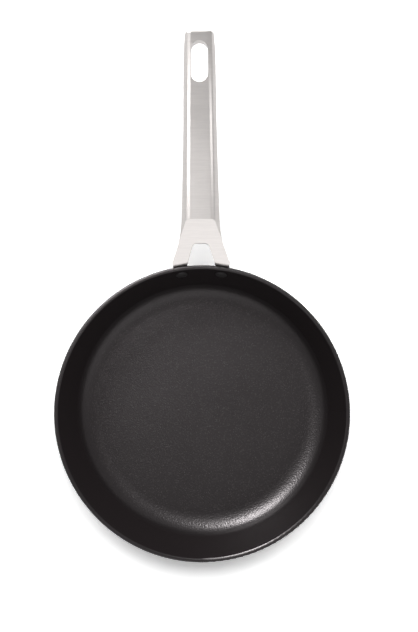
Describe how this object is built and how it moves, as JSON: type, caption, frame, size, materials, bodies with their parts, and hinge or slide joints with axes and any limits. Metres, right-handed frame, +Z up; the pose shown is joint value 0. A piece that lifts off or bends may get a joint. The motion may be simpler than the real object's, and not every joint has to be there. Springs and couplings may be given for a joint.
{
  "type": "omelette pan",
  "caption": "Round shallow frying pan with a dark non-stick inside, a leaning wall and a long hollow steel handle that forks into riveted legs and has a hanging slot.",
  "frame": {"origin": "centre of the resting face, on the surface that the pan stands on", "axes": "+Z up, +Y along the handle away from the pan, +X to the right when looking along the handle from the pan"},
  "size_m": [0.24, 0.4173, 0.0885],
  "materials": {
    "pan_coating": "black non-stick coating with a fine speckle over cast aluminium",
    "base_steel": "brushed magnetic steel, turned in fine circles",
    "handle_steel": "satin stainless steel, brushed across the grip",
    "rivet": "black coating over aluminium"
  },
  "bodies": {
    "root": {"pan_body": "pan_coating", "base_disc": "base_steel", "handle_upper": "handle_steel", "handle_lower": "handle_steel", "rivet_left": "rivet", "rivet_right": "rivet"}
  },
  "joints": []
}
